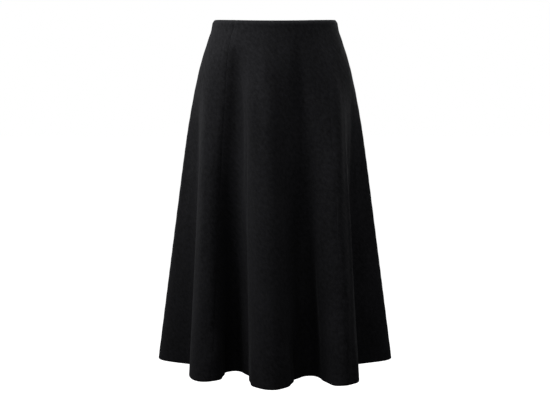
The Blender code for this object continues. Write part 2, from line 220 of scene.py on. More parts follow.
def eased(share):
    # 3 s² − 2 s³ between 0 and 1
    share = np.clip(share, 0.0, 1.0)
    return share * share * (3 - 2 * share)


def unit(vectors):
    # Each vector over its length
    return vectors / (np.linalg.norm(vectors, axis=-1, keepdims=True) + 1e-12)


def hipTable(at):
    # Half breadth and the two depths at any level: a cubic through the rows, with their own slopes
    levels = hipSections[0]
    span = np.clip(np.searchsorted(levels, at, side="right") - 1, 0, len(levels) - 2)
    step = levels[span + 1] - levels[span]
    t = (at - levels[span]) / step
    found = []
    for values in hipSections[1:]:
        slopes = np.gradient(values, levels)
        found.append((1 + 2 * t) * (1 - t) ** 2 * values[span] + t * (1 - t) ** 2 * step * slopes[span]
                     + t * t * (3 - 2 * t) * values[span + 1] + t * t * (t - 1) * step * slopes[span + 1])
    return found


def onHips(around, level):
    # (−breadth · sin, depth · cos) and its slope by the angle
    halfBreadth, ahead, behind = hipTable(level)
    across, along = np.sin(around), np.cos(around)
    depth = np.where(along > 0, behind, ahead)
    return (np.stack([-halfBreadth * across, depth * along], -1),
            np.stack([-halfBreadth * along, -depth * across], -1))


def foldRings(levels):
    # Each fold line runs on the hips down to where it leaves them, then straight to its hem point.
    # The handles turn from the run of the hips to the heading of the hem
    angles, leaves, hemX, hemY, heading, keepBefore, keepAfter = lineTable
    angles, heading = np.radians(angles), np.radians(heading)
    level = levels[:, None]
    here, run = onHips(angles + 0 * level, level + 0 * angles)
    start, _ = onHips(angles, leaves)
    grown = (level - leaves) / (skirtForm["hemLevel"] - leaves)
    share = eased((level - leaves + skirtForm["foldEase"]) / (2 * skirtForm["foldEase"]))
    turned = (np.maximum(grown, 0) * share)[..., None]
    way = np.stack([np.cos(heading), np.sin(heading)], -1)
    gapBefore = ((angles - np.roll(angles, 1)) % (2 * np.pi) / 3)[:, None]
    gapAfter = ((np.roll(angles, -1) - angles) % (2 * np.pi) / 3)[:, None]
    hemPoint = np.stack([hemX, hemY], -1)
    share, grown = share[..., None], grown[..., None]
    points = here * (1 - share) + (start + (hemPoint - start) * grown) * share
    before = run * gapBefore * (1 - turned) + way * keepBefore[:, None] * turned
    after = run * gapAfter * (1 - turned) + way * keepAfter[:, None] * turned
    return points, before, after


def ringPoints(levels, places, rings=None):
    # Cubic Bézier between neighbouring fold lines, row by row
    points, before, after = rings or foldRings(levels)
    whole = np.floor(places)
    first = whole.astype(int) % points.shape[1]
    second = (first + 1) % points.shape[1]
    row = np.arange(len(levels))[:, None]
    t = (places - whole)[..., None]
    start, end = points[row, first], points[row, second]
    return ((1 - t) ** 3 * start + 3 * t * (1 - t) ** 2 * (start + after[row, first])
            + 3 * t * t * (1 - t) * (end - before[row, second]) + t ** 3 * end)


def clothPoints(levels, places, rings=None):
    # The smooth outer face: the ring, rolled inwards by a square law at the waist, and dipped there
    rings = rings or foldRings(levels)
    flat = ringPoints(levels, places, rings)
    beside = 1e-3           # fold lines, to either side for the slope
    run = ringPoints(levels, places + beside, rings) - ringPoints(levels, places - beside, rings)
    out = unit(np.stack([run[..., 1], -run[..., 0]], -1))
    level = levels[:, None]
    rolled = skirtForm["rollDepth"] * np.maximum(0, 1 - level / skirtForm["rollLevel"]) ** 2
    halfBreadth, ahead, _ = hipTable(np.maximum(level, 0))
    front = np.clip(-flat[..., 1] / ahead, 0, 1) ** 2
    behind = np.clip(1 - (flat[..., 0] / halfBreadth) ** 2, 0, 1) * (flat[..., 1] > 0)
    dip = (skirtForm["sideDip"] * (1 - behind) + (skirtForm["frontDip"] - skirtForm["sideDip"]) * front)
    dip = dip * np.maximum(0, 1 - level / skirtForm["dipFades"]) ** 2
    return np.concatenate([flat - out * rolled[..., None], (-level - dip)[..., None]], -1)


def clothNormals(levels, places):
    # Down the cloth × along it
    beside, below = 2e-3, 0.5   # fold lines and millimetres, to either side for the slopes
    rings = foldRings(levels)
    run = clothPoints(levels, places + beside, rings) - clothPoints(levels, places - beside, rings)
    down = clothPoints(levels + below, places) - clothPoints(levels - below, places)
    return unit(np.cross(down, run))


def seamPlace(index, levels):
    # A seam's place runs evenly from the waist to the hem. The one after the last is the first again
    turn, index = divmod(index, len(seamTable))
    line, atWaist, atHem = seamTable[index]
    return line + turn * len(lineNames) + atWaist + (atHem - atWaist) * levels / skirtForm["hemLevel"]


def ringLengths(levels):
    # Length along each ring, measured at evenly spaced places
    step, spare = skirtForm["tableStep"], skirtForm["tableSpare"]
    places = np.arange(-spare * step, (len(lineNames) + spare) * step + 1) / step
    points = ringPoints(levels, np.broadcast_to(places, (len(levels), len(places))))
    steps = np.linalg.norm(np.diff(points, axis=1), axis=-1)
    lengths = np.concatenate([np.zeros((len(levels), 1)), np.cumsum(steps, axis=1)], axis=1)
    return places, lengths


def lengthAt(table, places):
    # Between two measured places the length grows evenly
    lengths = table[1]
    spot = (places + skirtForm["tableSpare"]) * skirtForm["tableStep"]
    spot = np.clip(spot, 0, lengths.shape[1] - lastSpan)
    first = spot.astype(int)
    row = np.arange(len(lengths))[:, None]
    share = spot - first
    return lengths[row, first] * (1 - share) + lengths[row, first + 1] * share


def placeAt(table, wanted):
    # The other way: the place at a length, ring by ring
    return np.array([np.interp(row, lengths, table[0]) for row, lengths in zip(wanted, table[1])])


def creaseHeight(levels, places, table):
    # Each crease is a bell across its line. Along it, it rises and dies away as sin² of its share,
    # which is bent by a power so that it is highest where it should be, and it widens as it runs down
    level = levels[:, None]
    length = lengthAt(table, places)
    whole = lengthAt(table, len(lineNames) + 0 * level) - lengthAt(table, 0 * level)
    height, begins = np.zeros_like(length), creaseRun["startWide"]
    for fromPlace, fromLevel, toPlace, toLevel, peak, halfWide, high in creases:
        share = np.clip((level - fromLevel) / (toLevel - fromLevel), 0, 1)
        line = lengthAt(table, fromPlace + (toPlace - fromPlace) * share)
        phase = level / creaseRun["wanderLong"] + fromPlace * creaseRun["wanderTurn"]
        line = line + creaseRun["wander"] * np.sin(phase)
        bent = share ** (np.log(0.5) / np.log(peak))
        if toLevel >= skirtForm["hemLevel"]:
            bent = np.minimum(bent, 0.5)
        wide = halfWide * (begins + (1 - begins) * np.minimum(1, share / peak))
        gap = length - line
        gap = gap - whole * np.round(gap / whole)
        height += high * np.sin(np.pi * bent) ** 2 * np.exp(-(gap / wide) ** 2)
    return height


def seamDistances(levels, places, table):
    # Distance along the cloth to the nearest seam, and which one it is
    length = lengthAt(table, places)
    seams = [lengthAt(table, seamPlace(index, levels)[:, None]) for index in range(len(seamTable) + 1)]
    gaps = np.stack([length - seam for seam in seams])
    nearest = np.abs(gaps).argmin(0)
    return np.take_along_axis(gaps, nearest[None], 0)[0], nearest


def seamHeight(levels, distances, nearest):
    # Outside: a narrow groove on the seam, and the allowances' soft pressed edge either side of it
    level = levels[:, None]
    groove = -seamRelief["grooveDeep"] * np.exp(-(distances / seamRelief["grooveWide"]) ** 2)
    toEdge = allowance["wide"] + seamRelief["pressedPast"] - np.abs(distances)
    pressed = eased(toEdge / seamRelief["pressedFade"])
    drift = seamRelief["puckerDrift"] * np.sin(level / seamRelief["driftLong"])
    phase = nearest % len(seamTable) * seamRelief["puckerTurn"] + drift
    pucker = np.sin(level * 2 * np.pi / seamRelief["puckerLong"] + phase)
    return groove + pressed * (seamRelief["pressedHigh"] + seamRelief["puckerHigh"] * pucker)


def overAllowances(toSeam, nearest, level):
    # How much further in a layer lies where it crosses a seam's allowances. Beside the zip there are none
    toEdge = allowance["wide"] + allowance["crossPast"] - np.abs(toSeam)
    lift = (allowance["thick"] + allowance["crossAir"]) * eased(toEdge / allowance["crossFade"])
    return np.where((nearest % len(seamTable) == 0) & (level < zipForm["bottom"]), 0, lift)


def wallArrays(face, back):
    # A wall between two grids of points, the first one outside, with its four rims closed
    rows, columns = face.shape[:2]
    index = np.arange(rows * columns).reshape(rows, columns)
    other = index + rows * columns

    def quads(a, b, c, d):
        return np.stack([a, b, c, d], -1).reshape(-1, 4)

    faces = np.concatenate([
        quads(index[:-1, :-1], index[1:, :-1], index[1:, 1:], index[:-1, 1:]),
        quads(other[:-1, :-1], other[:-1, 1:], other[1:, 1:], other[1:, :-1]),
        quads(index[0, :-1], index[0, 1:], other[0, 1:], other[0, :-1]),
        quads(index[-1, :-1], other[-1, :-1], other[-1, 1:], index[-1, 1:]),
        quads(index[:-1, 0], other[:-1, 0], other[1:, 0], index[1:, 0]),
        quads(index[:-1, -1], index[1:, -1], other[1:, -1], other[:-1, -1])])
    return np.concatenate([face.reshape(-1, 3), back.reshape(-1, 3)]), faces


def joined(parts):
    # Several lots of points and faces as one
    points = np.concatenate([part[0] for part in parts])
    firsts = np.cumsum([0] + [len(part[0]) for part in parts[:-1]])
    return points, np.concatenate([part[1] + first for part, first in zip(parts, firsts)])


def meshFrom(name, points, faces):
    # points in millimetres; faces has a column for each corner
    mesh = bpy.data.meshes.new(name)
    mesh.vertices.add(len(points))
    mesh.vertices.foreach_set("co", (points * mm).astype(np.float32).ravel())
    mesh.loops.add(faces.size)
    mesh.loops.foreach_set("vertex_index", faces.astype(np.int32).ravel())
    mesh.polygons.add(len(faces))
    mesh.polygons.foreach_set("loop_start", np.arange(0, faces.size, faces.shape[1], dtype=np.int32))
    mesh.update(calc_edges=True)
    mesh.shade_smooth()
    return mesh


def placed(name, data):
    made = bpy.data.objects.new(name, data)
    bpy.context.scene.collection.objects.link(made)
    return made


def newPiece(name, mesh, material, body="skirt"):
    # Every piece here rides on the cloth's body; the pull tab is the CAD model's own
    piece = placed(name, mesh)
    mesh.materials.append(material)
    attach(piece, body)
    return piece


def sewnPiece(name, shape, material):
    return newPiece(name, meshFrom(name, *shape), material)


def keepPlaces(mesh, across, down):
    # Where each point lies on the flat cloth, in metres, for the pattern of its material
    kept = mesh.attributes.new("clothPlace", "FLOAT_VECTOR", "POINT")
    flat = np.stack([across, down, 0 * across], -1) * mm
    kept.data.foreach_set("vector", flat.astype(np.float32).ravel())


def goreRows():
    # Rows of a gore, from the raw edge of its turned waist over the top, down the outside, round the
    # hem and up to the raw edge of the turned hem. Both turns are half circles of level and depth
    turn = np.linspace(0, np.pi, cloth["turnPoints"])
    radius = (cloth["thick"] + cloth["layerGap"] + cloth["turnedThick"]) / 2
    tight = cloth["layerGap"] / 2
    hem, near = skirtForm["hemLevel"], cloth["nearFold"]
    waistIn = np.linspace(cloth["waistTurned"], radius, cloth["waistPoints"])[:-1]
    body = np.concatenate([
        np.linspace(radius, near, cloth["waistPoints"])[1:],
        np.linspace(near, hem - near, int((hem - 2 * near) / cloth["rowStep"]))[1:],
        np.linspace(hem - near, hem - radius, cloth["hemPoints"])[1:-1]])
    hemIn = np.linspace(hem - radius, hem - cloth["hemTurned"], cloth["turnedPoints"])[1:]
    levels = np.concatenate([waistIn, radius - radius * np.sin(turn), body,
                             hem - radius + radius * np.sin(turn), hemIn])
    backLevels = np.concatenate([waistIn, radius - tight * np.sin(turn), body,
                                 hem - radius + tight * np.sin(turn), hemIn])
    through = (1 + np.cos(turn)) / 2
    atWaist = np.concatenate([np.ones(len(waistIn)), through, np.zeros(len(body) + len(turn) + len(hemIn))])
    atHem = np.concatenate([np.zeros(len(waistIn) + len(turn) + len(body)), 1 - through, np.ones(len(hemIn))])
    down = np.concatenate([[0], np.cumsum(np.hypot(np.diff(levels), np.diff(atWaist + atHem) * 2 * radius))])
    return levels, backLevels, atWaist, atHem, down - down[len(waistIn) + len(turn) - 1]


def seamGap(index, levels):
    # Half of what is open between two gores: only at the top of the zip does the seam stand apart
    closed = eased((levels - zipForm["mouthOpenTo"]) / (zipForm["mouthClosedAt"] - zipForm["mouthOpenTo"]))
    return zipForm["mouthHalfGap"] * (1 - closed) if index % len(seamTable) == 0 else 0 * levels


def drawnIn(grid, fold, edge, share):
    # Rows of a turned edge, drawn towards its fold by each column's share
    rows = np.arange(min(fold, edge), max(fold, edge) + 1)
    spot = fold + (rows - fold)[:, None] * share
    first = np.clip(np.floor(spot).astype(int), 0, len(grid) - 2)
    t = (spot - first)[..., None]
    column = np.arange(grid.shape[1])
    grid[rows] = grid[first, column] * (1 - t) + grid[first + 1, column] * t


def goreGrids(index):
    # Face and back of a gore: the smooth form, moved out by creases and seams and in by each layer
    levels, backLevels, atWaist, atHem, down = goreRows()
    turned = (atWaist + atHem)[:, None]
    table = ringLengths(levels)
    starts = lengthAt(table, seamPlace(index, levels)[:, None]) + seamGap(index, levels)[:, None]
    ends = lengthAt(table, seamPlace(index + 1, levels)[:, None]) - seamGap(index + 1, levels)[:, None]
    widths = ends - starts
    inner = np.linspace(0, 1, int(widths.max() / cloth["columnStep"]))[1:-1]
    edge = seamColumns[-1]
    distances = np.concatenate([
        np.broadcast_to(seamColumns, (len(levels), len(seamColumns))),
        edge + (widths - 2 * edge) * inner,
        widths - seamColumns[::-1]], axis=1)
    across = starts + distances
    places = placeAt(table, across)
    fromEnd = np.minimum(distances, widths - distances)
    toSeam, nearest = seamDistances(levels, places, table)
    atBack = nearest % len(seamTable) == 0

    soft = creaseHeight(levels, places, table)
    overSeam = overAllowances(toSeam, nearest, levels[:, None])
    radius = cloth["seamRound"]
    rounded = radius - np.sqrt(np.maximum(0, radius ** 2 - np.maximum(0, radius - fromEnd) ** 2))
    inside = cloth["thick"] + cloth["layerGap"]
    faceOut = (soft + (1 - turned) * seamHeight(levels, toSeam, nearest)
               - turned * (inside + cloth["turnedThick"] + overSeam) - rounded * (1 - 2 * turned))
    backOut = soft - np.where(turned > 0.5, inside + overSeam, cloth["thick"])
    face = clothPoints(levels, places) + clothNormals(levels, places) * faceOut[..., None]
    back = clothPoints(backLevels, places) + clothNormals(backLevels, places) * backOut[..., None]

    # Both turned edges wander, the hem's twice as far, and the waist's is cut away beside the zip's tape
    waistFold, hemFold = int(np.argmax(atWaist < 1)) - 1, int(np.argmax(atHem >= 1))
    (high, long), (low, short) = cloth["edgeWaves"]
    waves = 0.5 + high * np.sin(across / long) + low * np.sin(across / short + 1)
    waistShare = 1 - cloth["edgeWander"] * waves / cloth["waistTurned"]
    kept = eased((np.abs(toSeam) - zipForm["cutFrom"]) / zipForm["cutFade"])
    kept = zipForm["cutLeaves"] + (1 - zipForm["cutLeaves"]) * kept
    waistShare = np.where(atBack, waistShare * kept, waistShare)
    hemShare = 1 - 2 * cloth["edgeWander"] * waves / cloth["hemTurned"]
    for grid in (face, back):
        drawnIn(grid, waistFold, 0, waistShare[0])
        drawnIn(grid, hemFold, len(levels) - 1, hemShare[-1])
    middle = (starts + ends) / 2
    return face, back, across - middle, np.broadcast_to(down[:, None], across.shape)


def underCloth(levels, places, deep):
    # Points so deep under the creased outer face, and the smooth face's normals there
    normals = clothNormals(levels, places)
    height = creaseHeight(levels, places, ringLengths(levels)) - deep
    return clothPoints(levels, places) + normals * height[..., None], normals


def stripGrids(levels, seam, side, distances, deep, thick):
    # A strip under the cloth along one side of a seam, the side where places grow if side is 1. Gives its
    # near and far grid, then how far each point lies from the seam and from the waist on the flat cloth
    table = ringLengths(levels)
    places = placeAt(table, lengthAt(table, seam[:, None]) + side * distances)
    near, normals = underCloth(levels, places, deep)
    far = near - normals * thick[:, None]
    near, far, across = [grid[:, ::side] for grid in (near, far, side * distances)]
    return near, far, across, np.broadcast_to(levels[:, None], across.shape)


def allowanceGrids(index, side):
    # The seam allowance pressed open inside, its raw edge uneven
    phase = index % len(seamTable)
    top = allowance["fromWaist"] if phase else zipForm["bottom"] + allowance["fromZip"]
    hem = skirtForm["hemLevel"]
    levels = np.linspace(top, hem - allowance["fromHem"], int((hem - top) / allowance["rowStep"]))
    share = np.array(allowance["shares"])
    (high, long), (low, short) = allowance["waves"]
    wide = allowance["wide"] + high * np.sin(levels / long + phase) + low * np.sin(levels / short)
    curled = eased((share - allowance["curlFrom"]) / (1 - allowance["curlFrom"]))
    lift = allowance["curl"] * curled * (1 + np.sin(levels / allowance["curlLong"] + 2 * phase)[:, None])
    return stripGrids(levels, seamPlace(index, levels), side, wide[:, None] * share,
                      cloth["thick"] + allowance["air"] + lift,
                      allowance["thick"] * np.array(allowance["thin"]))


def threadAlong(points, normals, radius):
    # A thread: four points round each point of its path, one of them towards the normal, and a cap at
    # both ends. points are runs × points × 3, so that many short threads are made at once
    ahead = unit(np.gradient(points, axis=1))
    side = unit(np.cross(ahead, normals))
    up = np.cross(side, ahead)
    angle = np.arange(4) * np.pi / 2
    ring = (side[:, :, None] * np.cos(angle)[:, None] + up[:, :, None] * np.sin(angle)[:, None]) * radius
    rings = points[:, :, None] + ring
    index = np.arange(rings.size // 3).reshape(rings.shape[:3])
    after = np.roll(index, -1, axis=2)
    walls = np.stack([index[:, :-1], index[:, 1:], after[:, 1:], after[:, :-1]], -1).reshape(-1, 4)
    return rings.reshape(-1, 3), np.concatenate([walls, index[:, 0], index[:, -1, ::-1]])


def legsBetween(corners, steps):
    # Straight legs between corners, each with a few points
    share = np.arange(steps) / steps
    legs = corners[:-1, None] + (corners[1:] - corners[:-1])[:, None] * share[:, None]
    return np.concatenate([legs.reshape(-1, corners.shape[1]), corners[-1:]])


zipForm = {
    "top": 2.5,
    "bottom": 220.0,
    "tapeWide": 12.0,
    "tapeThick": 0.7,
    "tapeShares": (0, 0.03, 0.15, 0.32, 0.5, 0.68, 0.85, 0.97, 1),   # across the tape
    "tapeThin": (0.5, 0.95, 1, 1, 1, 1, 1, 0.9, 0.5),                # its thickness there
    "tapePoints": 64,
    "lay": 0.36,            # between the cloth and the tape
    "cutFrom": 13.0,        # from here on the turned waist comes back, over this width
    "cutFade": 6.0,
    "cutLeaves": 0.03,      # share of it that stays beside the tape
    "mouthHalfGap": 1.2,
    "mouthOpenTo": 22.0,
    "mouthClosedAt": 28.0,
    "besideSlider": 4.72,   # where the tape ends next to the slider
    "sliderEnd": 23.2,
    "sliderFade": 0.4,
    "ownEdge": 0.45,        # where it ends below, under the coil
    "coilFrom": 24.0,
    "coilTo": 213.0,
    "pitch": 1.4,
    "turnPoints": 14,
    "knots": 50,            # where the zip's course is measured for the coil
    "coilAcross": 1.3,      # middle of a coil, from the seam
    "coilDeep": 0.85,       # and from the face of the tape
    "coilHalfWide": 1.22,
    "coilHalfThick": 0.62,
    "wire": 0.28,
    "cordAcross": 0.25,     # the cord's middle, past the coil's
    "cordThin": 0.6,        # its share of the coil's thickness
    "cordPoints": 70,
    "stopLevel": 215.5,
    "stopHalf": (2.7, 1.2, 1.9),
    "stopPower": 4,
    "stopEnd": 1.5,         # radians up to its flat ends
    "stopPoints": (32, 17),
}

threads = {
    "radius": 0.17,
    "hemStep": 6.2,         # herringbone over the raw edges of the turned hem and waist
    "reach": 3.2,
    "pastHemEdge": 0.8,     # its middle line, from each raw edge towards the fold
    "pastWaistEdge": 0.5,
    "zipClear": 22.0,       # it stops so far from the centre back at the waist
    "legPoints": 5,
    "landsAt": 0.78,        # share of a leg, from the turned layer, where it lies on the gore's back
    "climb": 0.42,          # and over which it comes down
    "hemStand": 0.6,        # share of its radius that its middle stands off the cloth
    "edgeStep": 3.4,        # overlocking on the allowances' raw edges
    "edgeReach": 3.0,
    "edgePoints": 3,
    "edgeStand": 0.7,
    "tapeRows": (3.4, 9.6), # rows that sew the tape on, from the seam
    "tapeStitch": 2.4,
    "tapeEvery": 3.1,
    "tapeEnds": (3.0, 4.0), # clear of the tape's top, and of the slider and the tape's end
    "tapeRadius": 0.16,
    "tapeArch": 0.34,       # a stitch's middle, above its ends
    "tapeDip": 0.16,        # and its ends in the tape
    "tapePoints": 5,
}


def onCloth(levels, places, deep):
    # underCloth for one point at each level
    return [found[:, 0] for found in underCloth(levels, places[:, None], deep[:, None])]


def herringbone(turned, level):
    # Stitches over a turned edge, all round: low, high, a short step back, low, and so on. They rise
    # over the raw edge on their way from the gore's back to the turned layer
    whole = ringLengths(np.array([level]))
    around = lengthAt(whole, np.array([[0.0, len(lineNames)]]))[0]
    count = int((around[1] - around[0]) / threads["hemStep"])
    firsts = np.linspace(around[0], around[1], count + 1)[:-1, None]
    step = firsts[1, 0] - firsts[0, 0]
    along = (firsts + np.array([0, 1, 0.5, 1.5]) * step).ravel()
    high = np.tile([0.0, 1.0, 1.0, 0.0], count)
    path = legsBetween(np.stack([along, high], -1), threads["legPoints"])
    away = -1 if turned == "waist" else 1
    levels = level + away * threads["reach"] * (1 - 2 * path[:, 1])
    places = placeAt(whole, path[None, :, 0])[0]
    over = cloth["thick"] + cloth["layerGap"] + cloth["turnedThick"] + threads["radius"]
    under = cloth["thick"] + threads["radius"] * threads["hemStand"]
    toSeam, nearest = [found[0] for found in
                       seamDistances(np.full(1, level), places[None] % len(lineNames), whole)]
    onLayer = eased((threads["landsAt"] - path[:, 1]) / threads["climb"])
    deep = under + overAllowances(toSeam, nearest, level) + (over - under) * onLayer
    points, normals = onCloth(levels, places, deep)
    keep = np.full(len(points), True)
    if turned == "waist":
        keep = (np.abs(toSeam) > threads["zipClear"]) | (nearest % len(seamTable) != 0)
    runs = np.split(np.arange(len(points)), np.flatnonzero(np.diff(keep.astype(int))) + 1)
    return joined([threadAlong(points[None, run], -normals[None, run], threads["radius"])
                   for run in runs if keep[run[0]] and len(run) > 3])


def overlocking(grids, side):
    # A zigzag over the raw edge of an allowance, on the side that shows: from the edge inwards and back
    near, far = grids[:2]
    down = far[:, -1 if side > 0 else 0]
    length = np.concatenate([[0], np.cumsum(np.linalg.norm(np.diff(down, axis=0), axis=1))])
    count = int(length[-1] / threads["edgeStep"])
    spots = np.interp(np.arange(count) * threads["edgeStep"], length, np.arange(len(far)))

    def sample(grid, spot, reach):
        # Between four points of the grid
        across = np.interp(1 - reach, allowance["shares"], np.arange(grid.shape[1]))
        if side < 0:
            across = grid.shape[1] - 1 - across
        row, column = spot.astype(int), np.minimum(across.astype(int), grid.shape[1] - 2)
        t, u = (spot - row)[:, None], (across - column)[:, None]
        return ((grid[row, column] * (1 - u) + grid[row, column + 1] * u) * (1 - t)
                + (grid[row + 1, column] * (1 - u) + grid[row + 1, column + 1] * u) * t)

    zigzag = np.stack([spots, spots + 0.5 * np.gradient(spots)], -1).ravel()
    reach = np.tile([0.0, threads["edgeReach"] / allowance["wide"]], count)
    path = legsBetween(np.stack([zigzag, reach], -1), threads["edgePoints"])
    spot, reach = np.clip(path[:, 0], 0, len(far) - lastSpan), path[:, 1]
    up = sample(unit(far - near), spot, reach)
    points = sample(far, spot, reach) + up * threads["radius"] * threads["edgeStand"]
    return threadAlong(points[None], up[None], threads["radius"])


def tapeDepth(beyond):
    # From the cloth's outer face to so far beyond the face of the tape that shows inside
    return cloth["thick"] + zipForm["lay"] + zipForm["tapeThick"] + beyond


def tapeGrids(side):
    # Half of the zip, flat on the gore's back: side 1 on the wearer's right
    end, fade = zipForm["sliderEnd"], zipForm["sliderFade"]
    levels = np.linspace(zipForm["top"], zipForm["bottom"], zipForm["tapePoints"])
    levels = np.sort(np.append(levels, [end - fade, end + fade]))
    own = np.where(levels < end, zipForm["besideSlider"], zipForm["ownEdge"])[:, None]
    distances = own + (zipForm["tapeWide"] - own) * np.array(zipForm["tapeShares"])
    return stripGrids(levels, 0 * levels, side, distances, cloth["thick"] + zipForm["lay"],
                      zipForm["tapeThick"] * np.array(zipForm["tapeThin"]))


def zipFrames(levels):
    # Along the centre back: the point on the outer face, the way to the wearer's right, and out
    places = np.zeros((len(levels), 1))
    beside = 0.01           # fold lines
    right = clothPoints(levels, places + beside)[:, 0] - clothPoints(levels, places - beside)[:, 0]
    points, normals = onCloth(levels, places[:, 0], 0 * levels)
    return points, unit(right), normals


def coil(side):
    # The zip's teeth: a helix flattened to an ellipse, half a pitch apart on the two sides
    steps = int((zipForm["coilTo"] - zipForm["coilFrom"]) / zipForm["pitch"] * zipForm["turnPoints"])
    levels = np.linspace(zipForm["coilFrom"], zipForm["coilTo"], steps)
    turn = 2 * np.pi * levels / zipForm["pitch"] + (0 if side > 0 else np.pi)
    knots = np.linspace(levels[0], levels[-1], zipForm["knots"])
    middle, right, out = [np.stack([np.interp(levels, knots, part[:, k]) for k in range(3)], -1)
                          for part in zipFrames(knots)]
    wide = side * (zipForm["coilAcross"] - zipForm["coilHalfWide"] * np.cos(turn))
    deep = tapeDepth(zipForm["coilDeep"]) + zipForm["coilHalfThick"] * np.sin(turn)
    points = middle + right * wide[:, None] - out * deep[:, None]
    return threadAlong(points[None], np.cross(out, right)[None], zipForm["wire"])


def fillerCord(side):
    # The cord inside the coil, which the coil is sewn down over
    middle, right, out = zipFrames(np.linspace(zipForm["coilFrom"], zipForm["coilTo"], zipForm["cordPoints"]))
    wide = side * (zipForm["coilAcross"] + zipForm["cordAcross"])
    points = middle + right * wide - out * tapeDepth(zipForm["coilDeep"])
    return threadAlong(points[None], right[None], zipForm["coilHalfThick"] * zipForm["cordThin"])


def tapeStitches(side):
    # Short lockstitches, each a thread with its ends sunk in the tape
    made, (clear, end) = [], threads["tapeEnds"]
    share = np.linspace(0, 1, threads["tapePoints"])
    arch = threads["tapeArch"] * np.sin(np.pi * share) - threads["tapeDip"]
    for row in threads["tapeRows"]:
        first = zipForm["sliderEnd"] + end if row < zipForm["besideSlider"] else zipForm["top"] + clear
        starts = np.arange(first, zipForm["bottom"] - end, threads["tapeEvery"])
        levels = (starts[:, None] + threads["tapeStitch"] * share).ravel()
        table = ringLengths(levels)
        places = placeAt(table, lengthAt(table, np.zeros((len(levels), 1))) + side * row)[:, 0]
        points, normals = onCloth(levels, places, tapeDepth(np.tile(arch, len(starts))))
        stitches = (len(starts), len(share), 3)
        made.append(threadAlong(points.reshape(stitches), -normals.reshape(stitches), threads["tapeRadius"]))
    return joined(made)


def bottomStop():
    # A clamped metal stop: a superellipsoid in the zip's own directions, its two ends flat
    middle, right, out = [part[0] for part in zipFrames(np.array([zipForm["stopLevel"]]))]
    columns, rows = zipForm["stopPoints"]
    around, up = np.meshgrid(np.linspace(0, 2 * np.pi, columns + 1)[:-1],
                             np.linspace(-zipForm["stopEnd"], zipForm["stopEnd"], rows))

    def squared(value):
        return np.sign(value) * np.abs(value) ** (2 / zipForm["stopPower"])

    halfWide, halfThick, halfLong = zipForm["stopHalf"]
    x = halfWide * squared(np.cos(up)) * squared(np.cos(around))
    y = halfThick * squared(np.cos(up)) * squared(np.sin(around))
    z = halfLong * squared(np.sin(up))
    points = (middle - out * tapeDepth(zipForm["coilDeep"])
              + x[..., None] * right + y[..., None] * out + z[..., None] * np.cross(out, right))
    index = np.arange(rows * columns).reshape(rows, columns)
    after = np.roll(index, -1, axis=1)
    faces = np.stack([index[:-1], index[1:], after[1:], after[:-1]], -1).reshape(-1, 4)
    start = np.arange(columns // 2 - 1)
    cap = np.stack([start, start + 1, columns - 2 - start, columns - 1 - start], -1)
    return points.reshape(-1, 3), np.concatenate([faces, index[0][cap], index[-1][cap[:, ::-1]]])


# Materials. Every pattern reads the place on the flat cloth, in metres, or the object's own space. Each
# has a deep and a lit tone, with a roughness for both or one allOver, and a bump of a strength and of a
# height in metres.

wool = {
    "deep": (0.0055, 0.0055, 0.0070),
    "lit": (0.0230, 0.0230, 0.0277),
    "rough": (0.96, 0.78),
    "bump": (0.55, 0.0012),
    "allOver": {"Specular IOR Level": 0.32, "Sheen Weight": 0.06, "Sheen Roughness": 0.42,
                "Sheen Tint": (0.62, 0.63, 0.68, 1)},
    "scales": {"Clumps": 190.0, "Fibres": 900.0, "Clouds": 14.0},
}

# Each layer of the nap with the scale it has, its turn, its stretch down the cloth and its noise's
# detail and roughness
napLayers = {
    "clumps": ("Clumps", 0.6, 0.55, 3, 0.6),
    "fibres": ("Fibres", -0.35, 0.3, 2, 0.6),
    "crossed": ("Fibres", 1.1, 0.35, 2, 0.6),
    "clouds": ("Clouds", 0.2, 0.5, 3, 0.5),
}
napShares = {
    "height": {"fibres": 0.35, "crossed": 0.3},
    "light": {"fibres": 0.45, "crossed": 0.35, "clouds": 0.8},
    "lightRange": (0.95, 1.65),   # sums that give the deep and the lit tone
}

tapeCloth = {
    "deep": (0.004, 0.004, 0.0045),
    "lit": (0.016, 0.016, 0.018),
    "bump": (0.6, 0.0003),
    "allOver": {"Roughness": 0.7, "Specular IOR Level": 0.3},
    "ribs": {"X": 260.0, "Y": 420.0},
    "uneven": 0.6,
}

finishes = {
    "blackThread": {"deep": (0.005, 0.005, 0.006), "lit": (0.02, 0.02, 0.022), "rough": (0.5, 0.7),
                    "bump": (0.3, 0.00005), "grain": (2500, 4), "allOver": {"Metallic": 0}},
    "blackNylon": {"deep": (0.006, 0.006, 0.007), "lit": (0.012, 0.012, 0.013), "rough": (0.25, 0.4),
                   "bump": (0.3, 0.00002), "grain": (900, 4), "allOver": {"Metallic": 0}},
    "blackEnamel": {"deep": (0.010, 0.010, 0.011), "lit": (0.018, 0.018, 0.02), "rough": (0.26, 0.36),
                    "bump": (0.3, 0.00001), "grain": (1600, 4), "allOver": {"Metallic": 0.35}},
}


def addNode(tree, kind, sockets, **settings):
    # A node with its settings. A socket is given its value, or another node's output to read
    made = tree.nodes.new("ShaderNode" + kind)
    for name, value in settings.items():
        setattr(made, name, value)
    for name, value in sockets.items():
        if isinstance(value, bpy.types.NodeSocket):
            tree.links.new(value, made.inputs[name])
        else:
            made.inputs[name].default_value = value
    return made


